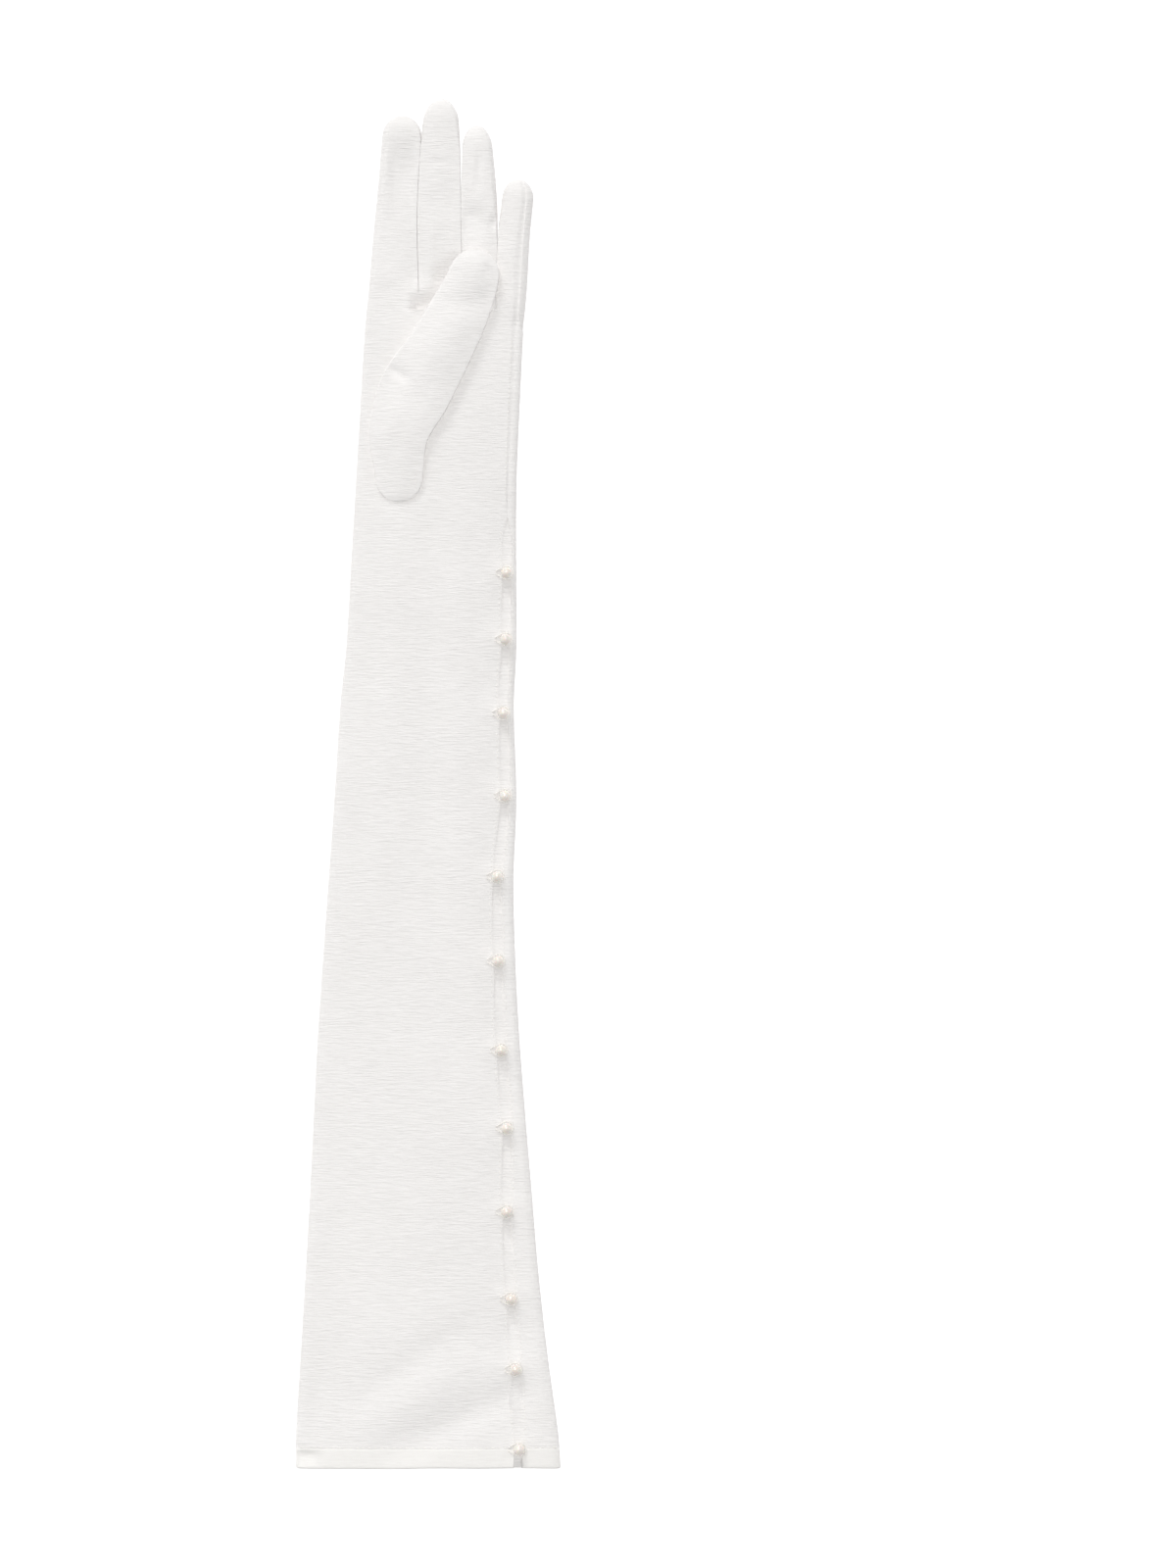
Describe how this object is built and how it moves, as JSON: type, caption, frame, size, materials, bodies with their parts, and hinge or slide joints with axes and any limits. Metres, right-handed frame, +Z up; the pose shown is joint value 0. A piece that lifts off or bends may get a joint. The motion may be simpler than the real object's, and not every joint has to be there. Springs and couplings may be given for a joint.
{
  "type": "opera glove",
  "caption": "Long tulle opera glove for the left hand, lying flat palm up, thumb folded over the palm, with a slit closed by pearl buttons and thread loops.",
  "frame": {"origin": "middle of the resting face, under the middle of the whole glove as it lies", "axes": "+Y from the cuff to the fingertips, +X to the little-finger side, +Z up from the surface that it lies on"},
  "size_m": [0.116, 0.6, 0.0159],
  "materials": {
    "tulle": "ivory white fine ribbed tulle, soft low sheen",
    "pearl": "cream pearl lustre",
    "thread": "white twisted thread"
  },
  "bodies": {
    "root": {"trank": "tulle", "thumb": "tulle", "fourchette_index_middle": "tulle", "fourchette_middle_ring": "tulle", "fourchette_ring_little": "tulle", "cuff_hem": "tulle", "placket_facing": "tulle", "pearl_01": "pearl", "pearl_02": "pearl", "pearl_03": "pearl", "pearl_04": "pearl", "pearl_05": "pearl", "pearl_06": "pearl", "pearl_07": "pearl", "pearl_08": "pearl", "pearl_09": "pearl", "pearl_10": "pearl", "pearl_11": "pearl", "pearl_12": "pearl", "loop_01": "thread", "loop_02": "thread", "loop_03": "thread", "loop_04": "thread", "loop_05": "thread", "loop_06": "thread", "loop_07": "thread", "loop_08": "thread", "loop_09": "thread", "loop_10": "thread", "loop_11": "thread", "loop_12": "thread"}
  },
  "joints": []
}
